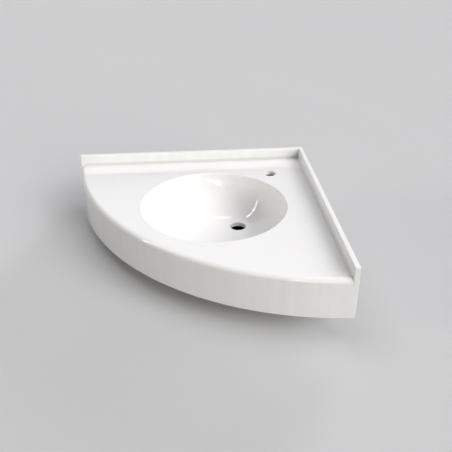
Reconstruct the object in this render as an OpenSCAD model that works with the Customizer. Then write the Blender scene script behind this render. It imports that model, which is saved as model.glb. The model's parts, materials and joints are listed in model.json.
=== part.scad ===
// Wall-hung corner basin with a curved apron, fabricated from solid-surface sheet.
// The room corner is the origin: the walls are the planes X = 0 and Y = 0,
// the basin lies at negative X and Y, and Z = 0 is the apron's bottom edge.

/* [Top] */
// Length of the basin along each wall
side = 700; // [660:5:780]
// Height of the deck above the bottom edge of the apron
deck_h = 110; // [90:1:160]
// Thickness of the sheet that the deck, apron, upstands and ribs are cut from
sheet_t = 13; // [12:0.5:18]
// Radius of the rounded front edge of the deck
nose_r = 12.5; // [4:0.5:12.5]

/* [Upstands] */
// Height of the upstands above the deck
upstand_h = 32; // [20:1:100]
// Radius of the upstands' top edge
upstand_edge_r = 2; // [0.5:0.5:5]
// Radius of the cove at the upstands' foot
cove_r = 6; // [3:0.5:14]

/* [Bowl] */
// Width of the deck between each wall and the bowl's mouth
wall_margin = 102; // [90:1:125]
// Width of the deck between the bowl's mouth and the basin's far end, along a wall
end_margin = 194; // [165:1:230]
// Gap between the bowl's flange and the backing strip, at the front on the diagonal
front_gap = 6.5; // [5:0.5:20]
// Depth of the bowl's floor below the deck
bowl_depth = 118; // [90:1:160]
// Thickness of the moulded bowl
bowl_t = 13; // [8:0.5:16]
// How long the bowl's floor stays flat before it rises
floor_power = 1.6; // [1.4:0.1:4]
// How steeply the bowl's wall meets the mouth
wall_power = 1.5; // [1.3:0.1:3]
// Radius of the mouth's upper edge
rim_edge_r = 2; // [0.5:0.5:5]
// Width of the bonding flange round the bowl
flange_w = 24; // [18:1:26]
// Thickness of the bonding flange
flange_t = 10; // [9:0.5:16]

/* [Waste outlet] */
// Diameter of the waste outlet
waste_d = 46; // [40:1:52]
// Distance of the outlet's centre from the mouth's edge, away from each wall
waste_inset = 127; // [110:1:150]
// Diameter of the flat seat round the waste outlet
waste_seat_d = 64; // [60:1:76]
// Radius of the outlet's upper edge
waste_edge_r = 2; // [0.5:0.5:4]

/* [Tap hole] */
// Diameter of the tap hole
tap_d = 35; // [32:0.5:38]
// Distance of the tap hole's centre from the bowl's mouth
tap_setback = 57; // [50:1:70]

/* [Stiffening] */
// Width of the backing strip behind the apron
backing_w = 13; // [8:1:14]
// Height of the backing strip
backing_h = 20; // [10:1:40]
// Gap between each rib and the nearest clip block
rib_gap = 16.5; // [6:0.5:30]
// Height of the ribs
rib_h = 50; // [25:1:65]

/* [Wall rails] */
// Height of the angle rails' leg on the wall
rail_drop = 60; // [50:1:75]
// Width of the angle rails' foot under the deck
rail_foot = 30; // [25:1:36]
// Thickness of the angle rails
rail_t = 4; // [3:0.5:6]
// Distance between the room corner and each rail's near end
rail_start = 60; // [50:1:80]
// Distance between each rail's far end and the basin's far end
rail_end_gap = 100; // [80:5:140]
// Diameter of the wall fixing holes
wall_hole_d = 9; // [6:0.5:11]
// Distance between each wall fixing hole and the rail's end
hole_end_margin = 70; // [50:1:100]
// Drop of the wall fixing holes below the deck's underside
wall_hole_drop = 38; // [30:1:46]

/* [Fixings] */
// Diameter of the machine screws
screw_d = 5; // [4:0.5:5]
// Distance between the outer rail screws and the rail's end
screw_end_margin = 40; // [25:1:60]
// Diameter of the screw heads
screw_head_d = 9.5; // [8:0.5:10]
// Height of the screw heads
screw_head_h = 3; // [2.5:0.5:5]
// Diameter of the washers
washer_d = 10; // [9:0.5:12]
// Thickness of the washers
washer_t = 1; // [0.5:0.5:2]
// Outer diameter of the threaded inserts
insert_d = 7; // [6.5:0.5:9]
// Length of the threaded inserts
insert_len = 7; // [5:0.5:8.5]
// Length of the clip blocks, away from the bowl
block_len = 20; // [16:1:22]
// Width of the clip blocks
block_w = 26; // [20:1:40]
// Grip of the bowl clips on the flange
clip_grip = 9; // [5:1:10]
// Width of the bowl clips
clip_w = 18; // [12:1:20]
// Thickness of the bowl clips
clip_t = 2.5; // [1.5:0.5:4]

/* [Hidden] */

$fn = 240;
// Facets of the small edge roundings
edge_fn = 48;
// Facets round the moulded bowl, and steps from its mouth to its seat
bowl_facets = 72;
bowl_steps = 14;

surface_color = [0.93, 0.93, 0.92];
rail_color = [0.72, 0.73, 0.75];
steel_color = [0.62, 0.63, 0.65];
brass_color = [0.78, 0.63, 0.32];

// One overrun for every cut
over = 1;
// Flat land left below the rounded front edge and beside each cove
land = 0.5;
// Gap between neighbours that must not touch under the deck
free_gap = 5;
// Gap between the flange and the clip blocks
block_gap = 2;
// Play of a screw in its insert, on the radius, and in a clearance hole, on the diameter
thread_play = 0.1;
hole_play = 0.5;
// Drill depth left beyond an insert
drill_extra = 0.5;
// Across the corners and depth of the screws' hexagon sockets
socket_d = 3.4;
socket_h = 1.8;
// Rail screws per rail, and the bowl clips' directions
rail_screw_count = 3;
clip_angles = [0, 90, 180, 270];

// The bowl's mouth fills the side between its two margins.
bowl_d = side - wall_margin - end_margin;
bowl_r = bowl_d / 2;
bowl_from_wall = wall_margin + bowl_r;
waste_from_wall = wall_margin + waste_inset;
tap_from_wall = bowl_from_wall - (bowl_r + tap_setback) / sqrt(2);
// Reach of the curved front from the room corner, along the diagonal
front_margin = flange_w + front_gap + backing_w + sheet_t;
front_reach = sqrt(2) * bowl_from_wall + bowl_r + front_margin;
// The front is one arc through both wall ends and the reach on the diagonal,
// so its centre lies on the diagonal at arc_c from each wall.
arc_c = (pow(side, 2) - pow(front_reach, 2)) / (2 * (sqrt(2) * front_reach - side));
arc_r = front_reach + sqrt(2) * arc_c;
plan_size = 2 * side;
edge_nose_r = min(nose_r, sheet_t - land);
deck_under = deck_h - sheet_t;
bowl_at = [-bowl_from_wall, -bowl_from_wall];
waste_at = [-waste_from_wall, -waste_from_wall];
seat_r = waste_seat_d / 2;
floor_z = deck_h - bowl_depth;
bowl_drop = deck_under - floor_z;
flange_r = bowl_r + flange_w;
flange_under = deck_under - flange_t;
inner_edge = sheet_t + backing_w;
setback = rail_foot + free_gap;
rail_len = side - rail_start - rail_end_gap;
rail_mid = rail_start + rail_len / 2;
wall_hole_pitch = rail_len - 2 * hole_end_margin;
rail_screw_pitch = (rail_len - 2 * screw_end_margin) / (rail_screw_count - 1);
rail_screw_from_wall = (rail_t + rail_foot) / 2;
block_in = flange_r + block_gap;
block_mid = block_in + block_len / 2;
rib_from_wall = bowl_from_wall + block_in + block_len + rib_gap + sheet_t / 2;
screw_len = insert_len - drill_extra;

// A point of the bowl's inside. Level circles shrink from the mouth to the waste seat while
// their centres move from the bowl's axis to the waste. The angle t runs from 0 at the seat
// to 90 at the mouth, and gives the share of the way out and the height by a superellipse.
function way_out(t) = pow(sin(t), 2 / floor_power);
function rise(t) = 1 - pow(cos(t), 2 / wall_power);
function ring_centre(t) = waste_at + (bowl_at - waste_at) * way_out(t);
function ring_r(t) = seat_r + (bowl_r - seat_r) * way_out(t);
function inside_point(t, a) =
    let (c = ring_centre(t), r = ring_r(t))
    [c.x + r * cos(a), c.y + r * sin(a), floor_z + bowl_drop * rise(t)];

// The outside lies one wall thickness from the inside, along the inside's normal.
function outward(t, a) =
    let (
        e = [cos(a), sin(a)],
        run = (bowl_at - waste_at) * e + bowl_r - seat_r,
        flat_part = bowl_drop / wall_power * pow(sin(t), 2 - 2 / floor_power),
        down_part = run / floor_power * pow(cos(t), 2 - 2 / wall_power),
        size = norm([flat_part, down_part])
    )
    [e.x * flat_part / size, e.y * flat_part / size, -down_part / size];
function outside_point(t, a) = inside_point(t, a) + bowl_t * outward(t, a);

function step_angle(i) = 90 * (1 - i / bowl_steps);
function turn_angle(k) = 360 * k / bowl_facets;
function level_ring(r, z) =
    [for (k = [0:bowl_facets - 1]) [bowl_at.x + r * cos(turn_angle(k)), bowl_at.y + r * sin(turn_angle(k)), z]];

// Room corner inside the front arc, drawn in from the front by inset
module plan(inset = 0) {
    intersection() {
        translate([arc_c, arc_c]) circle(r = arc_r - inset);
        translate([-plan_size, -plan_size]) square(plan_size);
    }
}

// The part of a plan that is further than gap from both walls
module clear_of_walls(gap) {
    intersection() {
        children();
        translate([-plan_size, -plan_size]) square(plan_size - gap);
    }
}

// The half of a plan on the back wall's side of the diagonal
module back_half() {
    intersection() {
        children();
        polygon([[0, 0], [-plan_size, 0], [-plan_size, -plan_size]]);
    }
}

// A profile of depth from the back wall and height, run along that wall
module along_wall(start, length) {
    translate([-start, 0, 0]) rotate([90, 0, -90]) linear_extrude(height = length) children();
}

// Swap the two walls
module other_wall() {
    mirror([1, -1, 0]) children();
}

// Cutter for a round hole with a rounded upper edge, from its lower end up to depth
module rounded_hole(r, edge_r, depth) {
    rotate_extrude() union() {
        translate([0, -over]) square([r, depth + 2 * over]);
        translate([0, depth - edge_r]) difference() {
            square([r + edge_r, edge_r + over]);
            translate([r + edge_r, 0]) circle(r = edge_r, $fn = edge_fn);
        }
    }
}

// Section of the deck from the arc's centre out to its rounded front edge
module nose_section() {
    square([arc_r - edge_nose_r, sheet_t]);
    square([arc_r, sheet_t - edge_nose_r]);
    translate([arc_r - edge_nose_r, sheet_t - edge_nose_r]) intersection() {
        circle(r = edge_nose_r, $fn = edge_fn);
        square(edge_nose_r);
    }
}

// Children at each rail screw on the back rail
module at_rail_screws() {
    for (i = [0:rail_screw_count - 1])
        translate([
            -rail_mid + (i - (rail_screw_count - 1) / 2) * rail_screw_pitch,
            -rail_screw_from_wall, 0
        ]) children();
}

// Children at the rail screws on both walls
module at_all_rail_screws() {
    at_rail_screws() children();
    other_wall() at_rail_screws() children();
}

// Children at each bowl clip, turned so that +X points away from the bowl
module at_clips() {
    for (a = clip_angles)
        translate([bowl_at.x, bowl_at.y, 0]) rotate([0, 0, a]) children();
}

// Threaded insert, standing on z = 0
module insert() {
    difference() {
        cylinder(d = insert_d, h = insert_len);
        translate([0, 0, -over]) cylinder(d = screw_d, h = insert_len + 2 * over);
    }
}

// Plain washer, hanging from z = 0
module washer() {
    translate([0, 0, -washer_t]) difference() {
        cylinder(d = washer_d, h = washer_t);
        translate([0, 0, -over]) cylinder(d = screw_d + hole_play, h = washer_t + 2 * over);
    }
}

// Screw through a plate whose upper face is z = 0, with its head below the washer
module screw(plate_t) {
    under = -plate_t - washer_t;
    difference() {
        union() {
            translate([0, 0, under - screw_head_h]) cylinder(d = screw_head_d, h = screw_head_h);
            translate([0, 0, under - land]) cylinder(r = screw_d / 2 - thread_play, h = screw_len + land - under);
        }
        translate([0, 0, under - screw_head_h - over]) cylinder(d = socket_d, h = socket_h + over, $fn = 6);
    }
}

module deck_panel() {
    color(surface_color) difference() {
        union() {
            intersection() {
                translate([arc_c, arc_c, deck_under]) rotate_extrude() nose_section();
                translate([-plan_size, -plan_size, deck_under])
                    cube([plan_size - sheet_t, plan_size - sheet_t, sheet_t]);
            }
            translate([0, 0, deck_under]) linear_extrude(height = sheet_t) difference() {
                plan();
                translate([-plan_size, -plan_size]) square(plan_size - sheet_t);
            }
        }
        translate([bowl_at.x, bowl_at.y, deck_under]) rounded_hole(bowl_r, rim_edge_r, sheet_t);
        translate([-tap_from_wall, -tap_from_wall, deck_under - over])
            cylinder(d = tap_d, h = sheet_t + 2 * over);
        at_all_rail_screws()
            translate([0, 0, deck_under - over]) cylinder(d = insert_d, h = insert_len + drill_extra + over);
    }
}

module bowl() {
    inside = [for (i = [0:bowl_steps]) [for (k = [0:bowl_facets - 1]) inside_point(step_angle(i), turn_angle(k))]];
    wall = [for (i = [2:bowl_steps]) [for (k = [0:bowl_facets - 1]) outside_point(step_angle(i), turn_angle(k))]];
    flange = [
        level_ring(flange_r, deck_under), level_ring(flange_r, flange_under),
        level_ring(bowl_r + bowl_t, flange_under),
    ];
    // From the waste seat up the inside, over the flange and down the outside
    rings = concat([for (i = [0:bowl_steps]) inside[bowl_steps - i]], flange, wall);
    last = len(rings) - 1;
    skin = [
        for (j = [0:last - 1], k = [0:bowl_facets - 1])
            let (
                m = (k + 1) % bowl_facets,
                a = j * bowl_facets + k,
                b = j * bowl_facets + m,
                c = a + bowl_facets,
                d = b + bowl_facets
            )
            each [[a, c, b], [b, c, d]]
    ];
    seat = [for (k = [0:bowl_facets - 1]) k];
    foot = [for (k = [0:bowl_facets - 1]) last * bowl_facets + bowl_facets - 1 - k];
    color(surface_color) difference() {
        polyhedron(points = [for (ring = rings) each ring], faces = concat(skin, [seat, foot]));
        translate([waste_at.x, waste_at.y, floor_z - bowl_t]) rounded_hole(waste_d / 2, waste_edge_r, bowl_t);
    }
}

module upstand_shape() {
    intersection() {
        along_wall(0, plan_size) translate([0, deck_h]) union() {
            square([sheet_t - upstand_edge_r, upstand_h]);
            square([sheet_t, upstand_h - upstand_edge_r]);
            translate([sheet_t - upstand_edge_r, upstand_h - upstand_edge_r])
                circle(r = upstand_edge_r, $fn = edge_fn);
        }
        translate([0, 0, deck_h - over]) linear_extrude(height = upstand_h + 2 * over) back_half() plan();
    }
}

module back_upstand() {
    color(surface_color) upstand_shape();
}

module side_upstand() {
    color(surface_color) other_wall() upstand_shape();
}

module cove_shape() {
    width = cove_r + land;
    intersection() {
        along_wall(0, plan_size) translate([sheet_t, deck_h]) difference() {
            square([width, width]);
            translate([width, width]) circle(r = cove_r, $fn = edge_fn);
        }
        translate([0, 0, deck_h - over]) linear_extrude(height = width + 2 * over)
            back_half() plan(edge_nose_r);
    }
}

module back_cove() {
    color(surface_color) cove_shape();
}

module side_cove() {
    color(surface_color) other_wall() cove_shape();
}

module front_apron() {
    color(surface_color) linear_extrude(height = deck_under) difference() {
        plan();
        plan(sheet_t);
    }
}

module apron_backing() {
    color(surface_color) translate([0, 0, deck_under - backing_h]) linear_extrude(height = backing_h)
        clear_of_walls(setback) difference() {
            plan(sheet_t);
            plan(inner_edge);
        }
}

module rib_shape() {
    translate([0, 0, deck_under - rib_h]) linear_extrude(height = rib_h) intersection() {
        plan(inner_edge);
        translate([-rib_from_wall - sheet_t / 2, -plan_size]) square([sheet_t, plan_size - setback]);
    }
}

module left_rib() {
    color(surface_color) rib_shape();
}

module right_rib() {
    color(surface_color) other_wall() rib_shape();
}

module rail_shape() {
    difference() {
        along_wall(rail_start, rail_len) translate([0, deck_under]) union() {
            translate([0, -rail_drop]) square([rail_t, rail_drop]);
            translate([0, -rail_t]) square([rail_foot, rail_t]);
        }
        for (s = [-1, 1])
            translate([-rail_mid + s * wall_hole_pitch / 2, over, deck_under - wall_hole_drop])
                rotate([90, 0, 0]) cylinder(d = wall_hole_d, h = rail_t + 2 * over);
        at_rail_screws() translate([0, 0, deck_under - rail_t - over])
            cylinder(d = screw_d + hole_play, h = rail_t + 2 * over);
    }
}

module back_rail() {
    color(rail_color) rail_shape();
}

module side_rail() {
    color(rail_color) other_wall() rail_shape();
}

module rail_inserts() {
    color(brass_color) at_all_rail_screws() translate([0, 0, deck_under]) insert();
}

module rail_washers() {
    color(steel_color) at_all_rail_screws() translate([0, 0, deck_under - rail_t]) washer();
}

module rail_screws() {
    color(steel_color) at_all_rail_screws() translate([0, 0, deck_under]) screw(rail_t);
}

module clip_blocks() {
    color(surface_color) at_clips() difference() {
        translate([block_in, -block_w / 2, flange_under]) cube([block_len, block_w, flange_t]);
        translate([block_mid, 0, flange_under - over])
            cylinder(d = insert_d, h = insert_len + drill_extra + over);
    }
}

module clip_inserts() {
    color(brass_color) at_clips() translate([block_mid, 0, flange_under]) insert();
}

module bowl_clips() {
    color(steel_color) at_clips() difference() {
        translate([flange_r - clip_grip, -clip_w / 2, flange_under - clip_t])
            cube([clip_grip + block_gap + block_len, clip_w, clip_t]);
        translate([block_mid, 0, flange_under - clip_t - over])
            cylinder(d = screw_d + hole_play, h = clip_t + 2 * over);
    }
}

module clip_washers() {
    color(steel_color) at_clips() translate([block_mid, 0, flange_under - clip_t]) washer();
}

module clip_screws() {
    color(steel_color) at_clips() translate([block_mid, 0, flange_under]) screw(clip_t);
}

deck_panel();
bowl();
back_upstand();
side_upstand();
back_cove();
side_cove();
front_apron();
apron_backing();
left_rib();
right_rib();
back_rail();
side_rail();
rail_inserts();
rail_washers();
rail_screws();
clip_blocks();
clip_inserts();
bowl_clips();
clip_washers();
clip_screws();
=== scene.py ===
import json
import math
import bmesh
import bpy
import numpy as np
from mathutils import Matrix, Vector
from mathutils.geometry import delaunay_2d_cdt


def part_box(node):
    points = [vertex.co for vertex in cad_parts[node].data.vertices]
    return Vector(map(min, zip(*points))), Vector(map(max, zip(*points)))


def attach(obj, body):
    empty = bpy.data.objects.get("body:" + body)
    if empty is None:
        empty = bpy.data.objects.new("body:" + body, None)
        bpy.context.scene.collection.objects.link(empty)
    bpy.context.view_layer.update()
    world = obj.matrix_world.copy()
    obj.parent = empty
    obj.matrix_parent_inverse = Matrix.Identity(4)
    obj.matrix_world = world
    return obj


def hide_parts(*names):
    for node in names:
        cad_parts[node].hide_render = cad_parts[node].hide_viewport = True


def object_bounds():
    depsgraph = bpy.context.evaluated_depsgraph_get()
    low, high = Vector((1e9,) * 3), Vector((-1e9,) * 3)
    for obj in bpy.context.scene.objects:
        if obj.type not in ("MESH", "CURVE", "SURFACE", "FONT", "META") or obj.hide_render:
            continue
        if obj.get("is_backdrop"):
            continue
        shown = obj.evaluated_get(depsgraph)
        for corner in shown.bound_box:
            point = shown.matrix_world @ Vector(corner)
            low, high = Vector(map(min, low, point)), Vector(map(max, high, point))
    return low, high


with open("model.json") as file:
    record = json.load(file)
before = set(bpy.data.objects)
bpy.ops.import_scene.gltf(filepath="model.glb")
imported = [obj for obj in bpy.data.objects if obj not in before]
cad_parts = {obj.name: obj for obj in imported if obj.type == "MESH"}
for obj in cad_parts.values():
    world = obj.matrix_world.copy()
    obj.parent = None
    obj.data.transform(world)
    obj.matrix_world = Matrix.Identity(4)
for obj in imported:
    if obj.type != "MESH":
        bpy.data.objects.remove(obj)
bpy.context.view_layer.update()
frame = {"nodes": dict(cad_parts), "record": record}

nodes = frame["nodes"]
mounts = {mount["name"]: mount for mount in frame["record"]["mounts"]}

# The room corner is the origin, the walls are x = 0 and y = 0, and the basin lies at negative x and y.
# Lengths are in metres and angles in degrees.
deckLow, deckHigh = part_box("deck_panel")
basin = {
    "side": -deckLow.x,                      # length along each wall
    "reach": 0.68842,                        # room corner to the front, on the diagonal
    "top": deckHigh.z,
    "under": deckLow.z,
    "sheet": deckHigh.z - deckLow.z,
    "nose": 0.0125,                          # radius of the deck's front edge
}
side, top, under, sheet = basin["side"], basin["top"], basin["under"], basin["sheet"]
# The front arc passes both wall ends and the reach, so its centre is at arcAt on both axes.
arcAt = (side ** 2 - basin["reach"] ** 2) / (2 * (math.sqrt(2) * basin["reach"] - side))
arcRadius = basin["reach"] + math.sqrt(2) * arcAt


def makeCamera():
    # 30 degrees down, turned 5 degrees from straight at the back wall
    shot = {
        "place": (-0.40803, -1.85465, 0.93656),
        "down": 29.960,
        "turn": 5.036,
        "lens": 50.419,
        "sensor": 36.0,
        "rise": -0.0011,
        "clip": (0.01, 100.0),
    }
    camData = bpy.data.cameras.new("basinCamera")
    cam = bpy.data.objects.new("basinCamera", camData)
    bpy.context.scene.collection.objects.link(cam)
    camData.sensor_width = shot["sensor"]
    camData.lens = shot["lens"]
    camData.shift_y = shot["rise"]
    camData.clip_start, camData.clip_end = shot["clip"]
    cam.location = shot["place"]
    cam.rotation_euler = (math.radians(90 - shot["down"]), 0.0, math.radians(-shot["turn"]))
    bpy.context.scene.camera = cam


def gridFaces(rows, cols, wrapRows=False, wrapCols=False):
    # quads between neighbours in a grid of points that is stored row by row
    rowSteps = np.arange(rows if wrapRows else rows - 1)
    colSteps = np.arange(cols if wrapCols else cols - 1)
    row, col = np.meshgrid(rowSteps, colSteps, indexing="ij")
    rowNext, colNext = (row + 1) % rows, (col + 1) % cols
    quads = [row * cols + col, row * cols + colNext, rowNext * cols + colNext, rowNext * cols + col]
    return np.stack(quads, -1).reshape(-1, 4)


def gridBlock(points, smooth=True, raw=0.0, wrapRows=False, wrapCols=False):
    # a patch of a piece through a grid of points
    faces = gridFaces(*points.shape[:2], wrapRows, wrapCols)
    return {"points": points.reshape(-1, 3), "faces": faces, "smooth": smooth, "raw": raw}


def faceBlock(points, faces=None, raw=0.0):
    # a flat patch: the faces given, or one face through all its points
    whole = [list(range(len(points)))] if faces is None else faces
    return {"points": np.asarray(points), "faces": np.asarray(whole), "smooth": False, "raw": raw}


def makePiece(name, blocks, node, material):
    # welds the patches into one closed mesh, with smooth and the raw share kept per face; the raw share is
    # the sanded finish, and on the coves painted shade
    join = {"weld": 2e-6, "sharp": 35.0}
    points = np.concatenate([block["points"] for block in blocks])
    starts = np.cumsum([0] + [len(block["points"]) for block in blocks[:-1]])
    faces, smooth, raw = [], [], []
    for block, start in zip(blocks, starts):
        count = len(block["faces"])
        faces += (block["faces"] + start).tolist()
        smooth.append(np.full(count, block["smooth"]))
        raw.append(np.broadcast_to(np.asarray(block["raw"], float).ravel(), (count,)))
    mesh = bpy.data.meshes.new(name)
    mesh.from_pydata(points.tolist(), [], faces)
    mesh.polygons.foreach_set("use_smooth", np.concatenate(smooth))
    mesh.attributes.new("raw", "FLOAT", "FACE").data.foreach_set("value", np.concatenate(raw))
    shell = bmesh.new()
    shell.from_mesh(mesh)
    bmesh.ops.remove_doubles(shell, verts=shell.verts, dist=join["weld"])
    bmesh.ops.recalc_face_normals(shell, faces=shell.faces)
    shell.to_mesh(mesh)
    shell.free()
    mesh.set_sharp_from_angle(angle=math.radians(join["sharp"]))
    mesh.materials.append(material)
    piece = bpy.data.objects.new(name, mesh)
    bpy.context.scene.collection.objects.link(piece)
    weighted = piece.modifiers.new("weighted", "WEIGHTED_NORMAL")
    weighted.keep_sharp = True
    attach(piece, "root")
    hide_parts(node)


def quarter(centre, radius, start, steps):
    # points of a quarter circle in a profile's plane, from the angle start, anticlockwise
    angle = np.radians(np.linspace(start, start + 90, steps + 1))
    return np.stack([centre[0] + radius * np.cos(angle), centre[1] + radius * np.sin(angle)], -1)


def atHeight(flat, height):
    # level points from their places in the plan
    return np.concatenate([flat, np.full((len(flat), 1), height)], 1)


def circlePoints(centre, radius, height, count):
    # a level circle, anticlockwise from +x
    angle = np.linspace(0, 2 * math.pi, count, endpoint=False)
    flat = [centre[0] + radius * np.cos(angle), centre[1] + radius * np.sin(angle)]
    return atHeight(np.stack(flat, -1), height)


def arcAngle(radius, gap, far):
    # angle about the arc's centre at which a circle is a gap away from the back wall, or the side wall
    angle = np.arcsin((arcAt + gap) / radius)
    return np.where(far, 1.5 * math.pi - angle, math.pi + angle)


def arcSweep(profile, share, gap=0.0):
    # a profile of radius and height, swept over shares of the way from the back wall to the side wall
    radius, height = profile[:, 0], profile[:, 1]
    share = np.asarray(share)[:, None]
    angle = arcAngle(radius, gap, False) * (1 - share) + arcAngle(radius, gap, True) * share
    flat = [arcAt + radius * np.cos(angle), arcAt + radius * np.sin(angle)]
    return np.stack([*flat, np.broadcast_to(height, angle.shape)], -1)


def flatWithHoles(outline, holes, height, raw):
    # Triangles of a level face inside an outline and outside its round holes. A triangle belongs to a hole
    # where its middle lies within the flats of the rim's polygon.
    cut = {"exact": 1e-7, "within": 0.99999}
    loops = [outline] + [hole["rim"][:, :2] for hole in holes]
    counts = [len(loop) for loop in loops]
    starts = np.cumsum([0] + counts[:-1])
    edges = []
    for start, count in zip(starts, counts):
        step = np.arange(count)
        edges.append(np.stack([start + step, start + (step + 1) % count], -1))
    flat = [Vector(point) for point in np.concatenate(loops).tolist()]
    result = delaunay_2d_cdt(flat, np.concatenate(edges).tolist(), [], 1, cut["exact"])
    corners = np.array([tuple(corner) for corner in result[0]])
    faces = np.array(result[2])
    middle = corners[faces].mean(1)
    for hole in holes:
        flats = hole["radius"] * math.cos(math.pi / len(hole["rim"])) * cut["within"]
        faces = faces[np.hypot(*(middle - hole["centre"]).T) > flats]
        middle = corners[faces].mean(1)
    return faceBlock(atHeight(corners, height), faces, raw)


def makeDeck(material):
    deck = {
        "frontSteps": 240,
        "noseSteps": 20,
        "endPoints": 4,                      # points across each square end of the front edge
        "rim": 0.002,                        # radius of the bowl cut-out's upper edge
        "rimSteps": 240,
        "tapEdge": 0.0006,
        "tapChamfer": 0.002,                 # on the underside
        "tapSteps": 72,
        "lipSteps": 8,
        "insertRadius": 0.0035,
        "insertDepth": 0.0075,
        "insertSteps": 24,
        "insertAlong": (0.1, 0.33, 0.56),    # from the room corner along each wall
        "insertFromWall": 0.017,
    }
    nose, noseFoot = basin["nose"], top - basin["nose"]
    noseArc = quarter((arcRadius - nose, noseFoot), nose, 0, deck["noseSteps"])
    profile = np.concatenate([[[arcRadius, under]], noseArc])
    # the round edge ends one sheet short of each wall, where the upstands stand on square ends
    front = arcSweep(profile, np.linspace(0, 1, deck["frontSteps"] + 1), sheet).transpose(1, 0, 2)
    blocks = [gridBlock(front)]
    ends = {}
    for far in (False, True):
        turns = arcAngle(arcRadius, sheet, far), arcAngle(arcRadius, 0.0, far)
        angle = np.linspace(*turns, deck["endPoints"])
        flat = np.stack([arcAt + arcRadius * np.cos(angle), arcAt + arcRadius * np.sin(angle)], -1)
        rows = [atHeight(flat, level) for level in (under, noseFoot, top)]
        blocks.append(gridBlock(np.array(rows), smooth=False))
        step = front[1:, -1 if far else 0]
        blocks.append(faceBlock(np.concatenate([step, rows[2][:1]])))
        wall = np.array([rows[0][-1], rows[1][-1], rows[2][-1], [0, 0, top], [0, 0, under]])
        blocks.append(faceBlock(wall, raw=1.0))
        ends[far] = flat
    outlineTop = np.concatenate([front[-1, :, :2], ends[True], [[0, 0]], ends[False][::-1]])
    outlineUnder = np.concatenate([front[0, :, :2], ends[True][1:], [[0, 0]], ends[False][:0:-1]])
    # bowl cut-out and tap hole: a wall with a rounded upper edge, and below it a chamfer at the tap hole
    tap = mounts["tap_hole"]
    tapRadius = tap["dims"]["r_mm"] / 1000
    bowlCut = ((bowl["centre"],) * 2, bowl["radius"], deck["rim"], 0.0, deck["rimSteps"])
    tapCut = (tap["pos_m"][:2], tapRadius, deck["tapEdge"], deck["tapChamfer"], deck["tapSteps"])
    upper, lower = [], []
    for centre, radius, edge, chamfer, count in (bowlCut, tapCut):
        lip = quarter((radius + edge, top - edge), edge, 90, deck["lipSteps"])[::-1]
        foot = [[radius + chamfer, under], [radius, under + chamfer]] if chamfer else [[radius, under]]
        rows = np.concatenate([foot, lip])
        rings = np.array([circlePoints(centre, *row, count) for row in rows])
        blocks.append(gridBlock(rings, wrapCols=True))
        upper.append({"centre": centre, "rim": rings[-1], "radius": rows[-1][0]})
        lower.append({"centre": centre, "rim": rings[0], "radius": rows[0][0]})
    # blind holes for the rails' inserts
    radius, fromWall = deck["insertRadius"], deck["insertFromWall"]
    levels = (under, under + deck["insertDepth"])
    for along in deck["insertAlong"]:
        for centre in ((-along, -fromWall), (-fromWall, -along)):
            rings = np.array([circlePoints(centre, radius, level, deck["insertSteps"]) for level in levels])
            blocks.append(gridBlock(rings, wrapCols=True, raw=1.0))
            blocks.append(faceBlock(rings[1], raw=1.0))
            lower.append({"centre": centre, "rim": rings[0], "radius": radius})
    blocks.append(flatWithHoles(outlineTop, upper, top, 0.0))
    blocks.append(flatWithHoles(outlineUnder, lower, under, 1.0))
    makePiece("deckPanel", blocks, "deck_panel", material)


bowlLow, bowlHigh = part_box("bowl")
outlet = mounts["waste_outlet"]
bowl = {
    "centre": (bowlLow.x + bowlHigh.x) / 2,
    "flange": (bowlHigh.x - bowlLow.x) / 2,  # outer radius of the bonding flange
    "flangeWidth": 0.024,
    "flangeThick": 0.010,
    "wall": 0.013,
    "waste": outlet["pos_m"][0],
    "outlet": outlet["dims"]["r_mm"] / 1000,
    "seat": 0.032,                           # radius of the flat round the outlet
    "edge": 0.0012,
    "edgeSteps": 6,
    "floorPower": 1.6,
    "wallPower": 1.5,
    "steps": 72,
    "outsideSteps": 36,
    "outsideFrom": 77,                       # angle at which the outside comes out of the flange
    "segments": 240,
}
bowl["radius"] = bowl["flange"] - bowl["flangeWidth"]
bowl["floor"] = bowlLow.z + bowl["wall"]


def bowlSurface(angle, outside):
    # Circles shrink from the mouth to the seat while their centres move to the outlet. The share of the way
    # is sin(angle)^(2/floorPower) and the rise 1 - cos(angle)^(2/wallPower). The outside is the inside moved
    # out by the wall along the normal.
    angle = angle[:, None]
    turn = np.linspace(0, 2 * math.pi, bowl["segments"], endpoint=False)[None, :]
    way = np.sin(angle) ** (2 / bowl["floorPower"])
    rise = 1 - np.cos(angle) ** (2 / bowl["wallPower"])
    drop = under - bowl["floor"]
    shift, growth = bowl["centre"] - bowl["waste"], bowl["radius"] - bowl["seat"]
    centre = bowl["waste"] + shift * way
    radius = bowl["seat"] + growth * way
    height = np.broadcast_to(bowl["floor"] + drop * rise, (len(angle), bowl["segments"]))
    points = np.stack([centre + radius * np.cos(turn), centre + radius * np.sin(turn), height], -1)
    if not outside:
        return points
    run = shift * (np.cos(turn) + np.sin(turn)) + growth
    flat = drop / bowl["wallPower"] * np.sin(angle) ** (2 - 2 / bowl["floorPower"])
    down = run / bowl["floorPower"] * np.cos(angle) ** (2 - 2 / bowl["wallPower"])
    normal = np.stack([np.cos(turn) * flat, np.sin(turn) * flat, -down], -1)
    return points + bowl["wall"] * normal / np.hypot(flat, down)[..., None]


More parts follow.
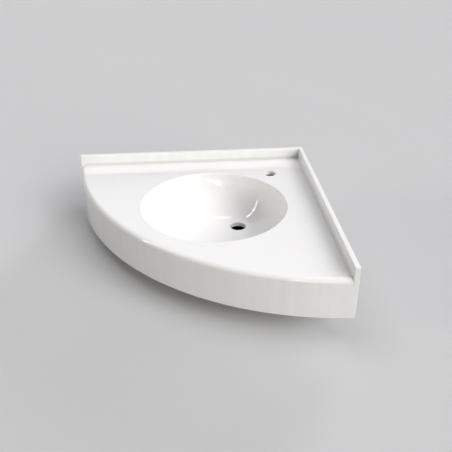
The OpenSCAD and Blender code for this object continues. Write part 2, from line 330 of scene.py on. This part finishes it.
def makeBowl(material):
    floor, edge, segments = bowl["floor"], bowl["edge"], bowl["segments"]
    wasteAt, mouthAt = (bowl["waste"],) * 2, (bowl["centre"],) * 2
    lip = quarter((bowl["outlet"] + edge, floor - edge), edge, 90, bowl["edgeSteps"])[::-1]
    outletRows = np.concatenate([[[bowl["outlet"], floor - bowl["wall"]]], lip])
    outletRings = np.array([circlePoints(wasteAt, *row, segments) for row in outletRows])
    inside = bowlSurface(np.radians(np.linspace(0, 90, bowl["steps"] + 1)), False)
    flangeUnder = under - bowl["flangeThick"]
    flangeRows = (
        (bowl["flange"], under),
        (bowl["flange"], flangeUnder),
        (bowl["radius"] + bowl["wall"], flangeUnder),
    )
    flangeRings = np.array([circlePoints(mouthAt, *row, segments) for row in flangeRows])
    outside = bowlSurface(np.radians(np.linspace(bowl["outsideFrom"], 0, bowl["outsideSteps"])), True)
    rings = np.concatenate([outletRings, inside, flangeRings, outside])
    # the outlet's wall and the inside are polished, and the rest is sanded
    polished = len(outletRings) + len(inside) - 1
    raw = np.repeat((np.arange(len(rings)) >= polished).astype(float), segments)
    blocks = [gridBlock(rings, raw=raw, wrapRows=True, wrapCols=True)]
    makePiece("bowlShell", blocks, "bowl", material)


def roundedEnd(profile, anchor, edge, turn):
    # A section near an end with rounded edges, and its gap to that end. The gap is edge (1 - cos(turn)), and
    # its two faces and the edge away from the anchor draw in by edge (1 - sin(turn)).
    room = np.ptp(profile, 0) * (0.5, 1.0)
    inward = 1 - edge * (1 - math.sin(turn)) / room
    return (profile - anchor) * inward + anchor, edge * (1 - math.cos(turn))


def makeApron(material):
    apron = {
        "edge": 0.0014,
        "edgeSteps": 6,
        "steps": 240,
        "endEdge": 0.0012,
        "endTurns": (0, 22.5, 45, 67.5),
    }
    edge, endEdge, inner = apron["edge"], apron["endEdge"], arcRadius - sheet
    profile = np.concatenate([
        quarter((inner + edge, edge), edge, 180, apron["edgeSteps"]),
        quarter((arcRadius - edge, edge), edge, 270, apron["edgeSteps"]),
        [[arcRadius, under], [inner, under]],
    ])
    anchor = (arcRadius - sheet / 2, under)
    ends = [roundedEnd(profile, anchor, endEdge, turn) for turn in np.radians(apron["endTurns"])]
    first = [arcSweep(section, [0.0], gap) for section, gap in ends]
    last = [arcSweep(section, [1.0], gap) for section, gap in reversed(ends)]
    between = arcSweep(profile, np.linspace(0, 1, apron["steps"] + 1), endEdge)
    sections = np.concatenate(first + [between] + last)
    # the sections' last two sides, the bonded top and the hollow back, are sanded
    rows, cols = sections.shape[:2]
    raw = np.tile(np.arange(cols) >= cols - 2, rows - 1).astype(float)
    blocks = [gridBlock(sections, raw=raw, wrapCols=True), faceBlock(sections[0]), faceBlock(sections[-1])]
    makePiece("frontApron", blocks, "front_apron", material)


def wallRun(depth, radius):
    # distance along a wall from the room corner to a circle about the arc's centre, at a depth from the wall
    return np.sqrt(radius ** 2 - (depth + arcAt) ** 2) - arcAt


def alongWall(profile, run, sideWall):
    # a profile of depth and height, each point at its own distance from the room corner along a wall
    depth, height = profile[:, 0], profile[:, 1]
    flat = (-depth, -run) if sideWall else (-run, -depth)
    return np.stack([*flat, height], -1)


def makeUpstands(material):
    upstand = {
        "innerEdge": 0.002,
        "innerSteps": 8,
        "wallEdge": 0.0008,
        "wallSteps": 4,
        "endEdge": 0.001,
        "endTurns": (90, 67.5, 45, 22.5, 0),
    }
    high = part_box("back_upstand")[1].z
    inner, outer = upstand["innerEdge"], upstand["wallEdge"]
    profile = np.concatenate([
        [[0, top], [sheet, top]],
        quarter((sheet - inner, high - inner), inner, 0, upstand["innerSteps"]),
        quarter((outer, high - outer), outer, 90, upstand["wallSteps"]),
    ])
    anchor = (sheet / 2, top)
    pair = (("backUpstand", "back_upstand", False), ("sideUpstand", "side_upstand", True))
    for name, node, sideWall in pair:
        # a mitre at the room corner, where the run equals the depth, and a rounded end on the front arc
        sections = [alongWall(profile, profile[:, 0], sideWall)]
        for turn in np.radians(upstand["endTurns"]):
            section, gap = roundedEnd(profile, anchor, upstand["endEdge"], turn)
            sections.append(alongWall(section, wallRun(section[:, 0], arcRadius) - gap, sideWall))
        sections = np.array(sections)
        # the sections' last and first sides, against the wall and the deck, are sanded
        rows, cols = sections.shape[:2]
        col = np.arange(cols)
        raw = np.tile((col == cols - 1) | (col == 0), rows - 1).astype(float)
        blocks = [
            gridBlock(sections, raw=raw, wrapCols=True),
            faceBlock(sections[0], raw=1.0),
            faceBlock(sections[-1]),
        ]
        makePiece(name, blocks, node, material)


def makeCoves(material):
    # a hollow quarter between deck and upstand, partly mixed with the darker sanded colour as painted shade,
    # a slightly darker line in the joint
    coveLow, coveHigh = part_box("back_cove")
    # the raw share of 0.6 here is painted shade along the cove, not a sanded finish
    cove = {"width": coveHigh.z - coveLow.z, "steps": 16, "raw": 0.6}
    width = cove["width"]
    hollow = quarter((sheet + width, top + width), width, 180, cove["steps"])[::-1]
    profile = np.concatenate([[[sheet, top]], hollow])
    depth = profile[:, 0]
    runs = (depth, wallRun(depth, arcRadius - basin["nose"]))
    for name, node, sideWall in (("backCove", "back_cove", False), ("sideCove", "side_cove", True)):
        sections = np.array([alongWall(profile, run, sideWall) for run in runs])
        blocks = [
            gridBlock(sections, raw=cove["raw"], wrapCols=True),
            faceBlock(sections[0], raw=1.0),
            faceBlock(sections[-1]),
        ]
        makePiece(name, blocks, node, material)


def setInput(tree, socket, value):
    # a socket is linked and anything else is a value
    if isinstance(value, bpy.types.NodeSocket):
        tree.links.new(value, socket)
    else:
        socket.default_value = value


def addNode(tree, kind, settings=None, **inputs):
    # a node with its plain settings and its inputs, which are named, or numbered as i0, i1 and on
    node = tree.nodes.new(kind)
    for key, value in (settings or {}).items():
        setattr(node, key, value)
    for key, value in inputs.items():
        numbered = key[0] == "i" and key[1:].isdigit()
        setInput(tree, node.inputs[int(key[1:]) if numbered else key.replace("_", " ")], value)
    return node


def mathNode(tree, operation, first, second=0.0, third=0.0):
    node = addNode(tree, "ShaderNodeMath", {"operation": operation}, i0=first, i1=second, i2=third)
    return node.outputs[0]


def mixFloat(tree, share, first, second):
    settings = {"data_type": "FLOAT"}
    return addNode(tree, "ShaderNodeMix", settings, i0=share, i2=first, i3=second).outputs[0]


def mixColor(tree, share, first, second, blend="MIX"):
    settings = {"data_type": "RGBA", "blend_type": blend}
    return addNode(tree, "ShaderNodeMix", settings, i0=share, i6=first, i7=second).outputs[2]


def mapRange(tree, value, start, end, kind="LINEAR"):
    # 0 up to start, 1 from end on
    settings = {"interpolation_type": kind}
    return addNode(tree, "ShaderNodeMapRange", settings, i0=value, i1=start, i2=end).outputs[0]


def stretchedNoise(tree, stretch, scale, detail):
    # noise in the object's own coordinates, stretched along one axis
    place = addNode(tree, "ShaderNodeTexCoord").outputs["Object"]
    mapped = addNode(tree, "ShaderNodeMapping", Vector=place, Scale=stretch).outputs[0]
    noise = addNode(tree, "ShaderNodeTexNoise", Vector=mapped, Scale=scale, Detail=detail, Roughness=0.55)
    return noise.outputs["Fac"]


def newGroup(name, given):
    # a shader node group with the inputs given by name and kind, which puts out colour, roughness and normal
    tree = bpy.data.node_groups.new(name, "ShaderNodeTree")
    for label, kind in given:
        tree.interface.new_socket(label, in_out="INPUT", socket_type=kind)
    for label, kind in (("Color", "Color"), ("Roughness", "Float"), ("Normal", "Vector")):
        tree.interface.new_socket(label, in_out="OUTPUT", socket_type="NodeSocket" + kind)
    return tree, tree.nodes.new("NodeGroupInput").outputs, tree.nodes.new("NodeGroupOutput").inputs


def makeAcrylicGroup():
    # polished cast sheet, and sanded where the raw share is one; a share between, as on the coves, mixes in
    # the darker sanded colour as painted shade
    skin = {
        "polished": (0.862, 0.855, 0.843, 1.0),
        # sanded finish, darkened as painted shade for the underside seen through the holes, and mixed in on
        # the coves as a line of shade
        "sanded": (0.62, 0.612, 0.595, 1.0),
        "gloss": (0.03, 0.07),               # roughness where polished
        "sandedRough": (0.42, 0.62),
        "cloud": (0.030, 0.975),             # how far the tone drifts, and its least share
        "fleck": (0.020, 0.990),
        "streaks": 0.10,                     # faint upright streaks on upright faces
        "fine": 0.06,                        # share of the fine ripple in the swell
        "swell": 0.000008,
        "sandingDepth": 0.00004,
        # each noise by its stretch, scale and detail
        "cloudNoise": ((1, 1, 1), 9.0, 3.0),
        "speckleNoise": ((1, 1, 1), 1400.0, 1.0),
        "rippleNoise": ((1, 1, 0.03), 70.0, 2.0),
        "bandNoise": ((1, 1, 0.03), 45.0, 2.0),
        "waveNoise": ((1, 1, 0.35), 16.0, 1.0),
        "sandingNoise": ((0.12, 1, 1), 700.0, 2.0),
    }
    tree, given, result = newGroup("acrylicSkin", (("Raw", "NodeSocketFloat"),))
    raw = given["Raw"]
    cloud = stretchedNoise(tree, *skin["cloudNoise"])
    speckle = stretchedNoise(tree, *skin["speckleNoise"])
    ripple = stretchedNoise(tree, *skin["rippleNoise"])
    band = stretchedNoise(tree, *skin["bandNoise"])
    wave = stretchedNoise(tree, *skin["waveNoise"])
    sanding = stretchedNoise(tree, *skin["sandingNoise"])
    tone = mathNode(tree, "MULTIPLY_ADD", cloud, *skin["cloud"])
    fleck = mathNode(tree, "MULTIPLY_ADD", speckle, *skin["fleck"])
    facing = addNode(tree, "ShaderNodeTexCoord").outputs["Normal"]
    rising = addNode(tree, "ShaderNodeSeparateXYZ", Vector=facing).outputs["Z"]
    upright = mathNode(tree, "SUBTRACT", 1.0, mathNode(tree, "ABSOLUTE", rising))
    depth = mathNode(tree, "MULTIPLY", mathNode(tree, "SUBTRACT", band, 0.5), skin["streaks"])
    streaked = mathNode(tree, "SUBTRACT", 1.0, mathNode(tree, "MULTIPLY", upright, depth))
    level = mathNode(tree, "MULTIPLY", streaked, mathNode(tree, "MULTIPLY", tone, fleck))
    shade = addNode(tree, "ShaderNodeCombineColor", Red=level, Green=level, Blue=level).outputs[0]
    base = mixColor(tree, raw, skin["polished"], skin["sanded"])
    setInput(tree, result["Color"], mixColor(tree, 1.0, base, shade, "MULTIPLY"))
    polished = mixFloat(tree, mathNode(tree, "MULTIPLY", cloud, ripple), *skin["gloss"])
    sanded = mixFloat(tree, sanding, *skin["sandedRough"])
    setInput(tree, result["Roughness"], mixFloat(tree, raw, polished, sanded))
    swell = mathNode(tree, "ADD", wave, mathNode(tree, "MULTIPLY", ripple, skin["fine"]))
    smoothHeight = mathNode(tree, "MULTIPLY", swell, skin["swell"])
    sandedHeight = mathNode(tree, "MULTIPLY", sanding, skin["sandingDepth"])
    height = mixFloat(tree, raw, smoothHeight, sandedHeight)
    bump = addNode(tree, "ShaderNodeBump", Strength=1.0, Distance=1.0, Height=height)
    setInput(tree, result["Normal"], bump.outputs[0])
    return tree


def makeMetalGroup():
    # drawn or turned metal: fine lines along one direction, with darker stains in them
    metal = {
        "stainTint": (0.72, 0.72, 0.72, 1.0),
        "stainScale": 22.0,
        "roughening": 0.12,
        "bump": 0.35,
        "depth": 0.0002,
    }
    tree, given, result = newGroup("metalSkin", (
        ("Tint", "NodeSocketColor"),
        ("Stretch", "NodeSocketVector"),
        ("Dull", "NodeSocketFloat"),
        ("Base Normal", "NodeSocketVector"),
    ))
    place = addNode(tree, "ShaderNodeTexCoord").outputs["Object"]
    drawn = addNode(tree, "ShaderNodeVectorMath", {"operation": "MULTIPLY"}, i0=place, i1=given["Stretch"])
    fine = addNode(tree, "ShaderNodeTexNoise", Vector=drawn.outputs[0], Scale=1.0, Detail=4.0, Roughness=0.6)
    blotch = addNode(tree, "ShaderNodeTexNoise", Vector=place, Scale=metal["stainScale"], Detail=3.0)
    lines, stain = fine.outputs["Fac"], blotch.outputs["Fac"]
    dark = mixColor(tree, 1.0, given["Tint"], metal["stainTint"], "MULTIPLY")
    stained = mathNode(tree, "MULTIPLY", lines, stain)
    setInput(tree, result["Color"], mixColor(tree, stained, given["Tint"], dark))
    uneven = mathNode(tree, "MULTIPLY", mathNode(tree, "ADD", lines, stain), metal["roughening"])
    setInput(tree, result["Roughness"], mathNode(tree, "ADD", given["Dull"], uneven))
    bump = addNode(tree, "ShaderNodeBump", Strength=metal["bump"], Distance=metal["depth"], Height=lines,
                   Normal=given["Base Normal"])
    setInput(tree, result["Normal"], bump.outputs[0])
    return tree


def newMaterial(name):
    material = bpy.data.materials.new(name)
    material.use_nodes = True
    return material, material.node_tree, material.node_tree.nodes["Principled BSDF"]


def coatWith(tree, shader, skin):
    # a group's colour, roughness and normal on the shader
    for source, target in (("Color", "Base Color"), ("Roughness", "Roughness"), ("Normal", "Normal")):
        tree.links.new(skin.outputs[source], shader.inputs[target])


def acrylicMaterial(name, group, raw=None):
    # raw is one value, or is read from the faces if none is given
    material, tree, shader = newMaterial(name)
    if raw is None:
        raw = addNode(tree, "ShaderNodeAttribute", {"attribute_name": "raw"}).outputs["Fac"]
    skin = addNode(tree, "ShaderNodeGroup", {"node_tree": group}, Raw=raw)
    coatWith(tree, shader, skin)
    shader.inputs["IOR"].default_value = 1.5
    return material


def metalMaterial(name, group, tint, dull, bevel, grain):
    material, tree, shader = newMaterial(name)
    edge = addNode(tree, "ShaderNodeBevel", {"samples": 6}, Radius=bevel).outputs[0]
    color = (*tint, 1.0)
    skin = addNode(tree, "ShaderNodeGroup", {"node_tree": group}, Tint=color, Stretch=grain, Dull=dull,
                   Base_Normal=edge)
    coatWith(tree, shader, skin)
    shader.inputs["Metallic"].default_value = 1.0
    return material


def dressNodes(metalGroup, acrylicGroup):
    # every CAD node gets the material of its slot, but each rail one whose grain runs along it
    # dull aluminium, its tint darkened as painted shade so the rail under the deck looks dark through the
    # tap hole
    aluminiumWithPaintedShade = {"tint": (0.36, 0.365, 0.375), "dull": 0.22, "bevel": 0.0006}
    steel = {"tint": (0.62, 0.61, 0.60), "dull": 0.16, "bevel": 0.0003}
    brass = {"tint": (0.78, 0.60, 0.30), "dull": 0.18, "bevel": 0.0002}
    byNode = {
        "back_rail": metalMaterial("railAlongBack", metalGroup, **aluminiumWithPaintedShade, grain=(8, 900, 900)),
        "side_rail": metalMaterial("railAlongSide", metalGroup, **aluminiumWithPaintedShade, grain=(900, 8, 900)),
    }
    bySlot = {
        "surface": acrylicMaterial("sandedAcrylic", acrylicGroup, 1.0),
        "fixing": metalMaterial("brightSteel", metalGroup, **steel, grain=(700, 700, 2500)),
        "insert": metalMaterial("turnedBrass", metalGroup, **brass, grain=(400, 400, 5000)),
    }
    slotOf = {part["node"]: part["material_slot"] for part in frame["record"]["subparts"]}
    for name, node in nodes.items():
        node.data.materials.clear()
        node.data.materials.append(byNode[name] if name in byNode else bySlot[slotOf[name]])


def direction(elevation, azimuth):
    # unit vector towards an elevation and an azimuth, anticlockwise from +x
    rise, turn = math.radians(elevation), math.radians(azimuth)
    return Vector((math.cos(turn) * math.cos(rise), math.sin(turn) * math.cos(rise), math.sin(rise)))


def makeLight():
    # Large far softboxes, which light the basin evenly but don't show in its polish. The one below shines
    # through the floor and shows the underside.
    tints = {
        "warmest": (1.0, 0.975, 0.93),
        "warm": (1.0, 0.99, 0.97),
        "cool": (1.0, 0.998, 1.05),
    }
    softboxes = {
        "backRight": {"elevation": 10, "azimuth": 60, "spread": 20, "power": 2.29, "tint": "cool"},
        "left": {"elevation": 10, "azimuth": 180, "spread": 20, "power": 0.95, "tint": "warmest"},
        "frontLow": {"elevation": 10, "azimuth": 300, "spread": 20, "power": 0.75, "tint": "warmest"},
        "rightBack": {"elevation": 32, "azimuth": 30, "spread": 30, "power": 0.31, "tint": "cool"},
        "front": {"elevation": 32, "azimuth": 300, "spread": 30, "power": 1.21, "tint": "warm"},
        "right": {"elevation": 32, "azimuth": 330, "spread": 30, "power": 1.15, "tint": "warm"},
        "rightHigh": {"elevation": 58, "azimuth": 0, "spread": 40, "power": 0.82, "tint": "cool"},
        "backHigh": {"elevation": 58, "azimuth": 120, "spread": 40, "power": 0.84, "tint": "cool"},
        "below": {"elevation": -90, "azimuth": 0, "spread": 30, "power": 0.80, "tint": "warm"},
        "overhead": {"elevation": 85, "azimuth": 0, "spread": 60, "power": 0.12, "tint": "cool"},
    }
    for name, box in softboxes.items():
        lampData = bpy.data.lights.new(name, "SUN")
        lampData.energy = box["power"]
        lampData.angle = math.radians(box["spread"])
        lampData.color = tints[box["tint"]]
        lamp = bpy.data.objects.new(name, lampData)
        bpy.context.scene.collection.objects.link(lamp)
        towards = direction(box["elevation"], box["azimuth"])
        lamp.rotation_euler = towards.to_track_quat("Z", "Y").to_euler()
        lamp.visible_glossy = False


def makePanels():
    # bright cards that only show as reflections in the polish, with elevation and azimuth of each corner
    aim, reach = Vector((-0.32, -0.32, 0.08)), 4.0
    panels = {
        "leftStrip": {
            "glow": 16.0,
            "corners": ((12, 184.5), (12, 187), (26, 181.8), (62, 167), (62, 163), (26, 179)),
        },
        "backStrip": {"glow": 6.0, "corners": ((47, 55), (47, 60), (66, 76), (66, 63))},
        "backLine": {"glow": 2.5, "corners": ((11, 68), (11, 88), (13.5, 88), (13.5, 68))},
        "frontWindow": {
            "glow": 7.0,
            "corners": ((22.5, 256.5), (0.5, 257.0), (0.5, 290), (4, 282), (15, 268)),
        },
        "sideWindow": {"glow": 1.2, "corners": ((28, 236), (28, 243), (2, 249), (2, 240))},
    }
    for name, card in panels.items():
        corners = [aim + direction(*corner) * reach for corner in card["corners"]]
        mesh = bpy.data.meshes.new(name)
        mesh.from_pydata(corners, [], [range(len(corners))])
        panel = bpy.data.objects.new(name, mesh)
        bpy.context.scene.collection.objects.link(panel)
        material, tree, shader = newMaterial(name)
        shader.inputs["Base Color"].default_value = (0.0, 0.0, 0.0, 1.0)
        shader.inputs["Emission Color"].default_value = (1.0, 1.0, 1.0, 1.0)
        shader.inputs["Emission Strength"].default_value = card["glow"]
        mesh.materials.append(material)
        panel.visible_camera = panel.visible_diffuse = panel.visible_shadow = False
        panel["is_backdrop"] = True


def makeWorld():
    # dim as a light and pale where the camera sees it; the polish mirrors dark walls and a lighter ceiling
    studio = {
        "black": (0.0, 0.0, 0.0, 1.0),
        "dim": (0.03, 0.03, 0.03, 1.0),
        "pale": (0.63, 0.63, 0.63, 1.0),
        "walls": (0.15, 0.15, 0.15, 1.0),
        "ceiling": (0.45, 0.45, 0.45, 1.0),
        "horizon": (-0.18, -0.10),           # heights of a ray's direction between which the dark below ends
        "rise": (0.45, 0.75),                # heights between which the mirrored walls turn into the ceiling
        "flag": (18, 80),                    # elevation and azimuth of a dark cloth behind the basin
        "flagEdge": (36, 28),                # angles from its middle between which it begins
    }
    world = bpy.data.worlds.new("studio")
    bpy.context.scene.world = world
    world.use_nodes = True
    tree = world.node_tree
    way = addNode(tree, "ShaderNodeTexCoord").outputs["Generated"]
    height = addNode(tree, "ShaderNodeSeparateXYZ", Vector=way).outputs["Z"]
    above = mapRange(tree, height, *studio["horizon"])
    upper = mapRange(tree, height, *studio["rise"])
    cloth = direction(*studio["flag"])
    near = addNode(tree, "ShaderNodeVectorMath", {"operation": "DOT_PRODUCT"}, i0=way, i1=cloth)
    edge = [math.cos(math.radians(angle)) for angle in studio["flagEdge"]]
    flag = mapRange(tree, near.outputs["Value"], *edge)
    room = mixColor(tree, flag, mixColor(tree, upper, studio["walls"], studio["ceiling"]), studio["black"])
    path = addNode(tree, "ShaderNodeLightPath")
    lit = mixColor(tree, path.outputs["Is Glossy Ray"], studio["dim"], room)
    shown = mixColor(tree, path.outputs["Is Camera Ray"], lit, studio["pale"])
    background = tree.nodes["Background"].inputs["Color"]
    setInput(tree, background, mixColor(tree, above, studio["black"], shown))


def makeFloor():
    # dark under the basin, where its shadow is deepest, so that the outlet looks black
    floor = {
        "drop": 0.02,                        # below the bowl
        "size": 14.0,
        "seen": (0.52, 0.52, 0.52, 1.0),
        "bounced": (0.30, 0.30, 0.30, 1.0),
        "shadow": (0.0, 0.0, 0.0, 1.0),
        "shade": (0.06, 0.16),               # distances in from the front between which it darkens
        "lead": 0.04,                        # how much nearer to the walls it does so
        "rough": 0.9,
    }
    level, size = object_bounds()[0].z - floor["drop"], floor["size"]
    corners = [(-size, -size, level), (size, -size, level), (size, size, level), (-size, size, level)]
    mesh = bpy.data.meshes.new("floor")
    mesh.from_pydata(corners, [], [(0, 1, 2, 3)])
    plane = bpy.data.objects.new("floor", mesh)
    bpy.context.scene.collection.objects.link(plane)
    material, tree, shader = newMaterial("floorPale")
    # how far in a point lies is the least of its distances to both walls and to the front arc
    place = addNode(tree, "ShaderNodeTexCoord").outputs["Object"]
    split = addNode(tree, "ShaderNodeSeparateXYZ", Vector=place)
    fromX = mathNode(tree, "SUBTRACT", floor["lead"], split.outputs["X"])
    fromY = mathNode(tree, "SUBTRACT", floor["lead"], split.outputs["Y"])
    toWalls = mathNode(tree, "MINIMUM", fromX, fromY)
    centre = (arcAt, arcAt, level)
    away = addNode(tree, "ShaderNodeVectorMath", {"operation": "DISTANCE"}, i0=place, i1=centre)
    toFront = mathNode(tree, "SUBTRACT", arcRadius, away.outputs["Value"])
    inside = mathNode(tree, "MINIMUM", toWalls, toFront)
    shade = mapRange(tree, inside, *floor["shade"], "SMOOTHSTEP")
    path = addNode(tree, "ShaderNodeLightPath")
    seen = mathNode(tree, "MAXIMUM", path.outputs["Is Camera Ray"], path.outputs["Is Glossy Ray"])
    tone = mixColor(tree, seen, floor["bounced"], floor["seen"])
    setInput(tree, shader.inputs["Base Color"], mixColor(tree, shade, tone, floor["shadow"]))
    shader.inputs["Roughness"].default_value = floor["rough"]
    shader.inputs["Specular IOR Level"].default_value = 0.0
    # seen from below, the floor lets the view through
    clear = addNode(tree, "ShaderNodeBsdfTransparent")
    behind = addNode(tree, "ShaderNodeNewGeometry").outputs["Backfacing"]
    both = addNode(tree, "ShaderNodeMixShader", i0=behind, i1=shader.outputs[0], i2=clear.outputs[0])
    tree.links.new(both.outputs[0], tree.nodes["Material Output"].inputs["Surface"])
    mesh.materials.append(material)
    plane.visible_shadow = False             # so that the softbox below shines through
    plane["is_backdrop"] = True


bpy.context.scene.view_settings.view_transform = "Standard"
makeCamera()
makeWorld()
makeLight()
makePanels()
makeFloor()
print("camera, light and floor ready")
acrylicGroup, metalGroup = makeAcrylicGroup(), makeMetalGroup()
polishedAcrylic = acrylicMaterial("polishedAcrylic", acrylicGroup)
dressNodes(metalGroup, acrylicGroup)
print("materials ready")
makeDeck(polishedAcrylic)
makeBowl(polishedAcrylic)
makeApron(polishedAcrylic)
makeUpstands(polishedAcrylic)
makeCoves(polishedAcrylic)
print("pieces ready")
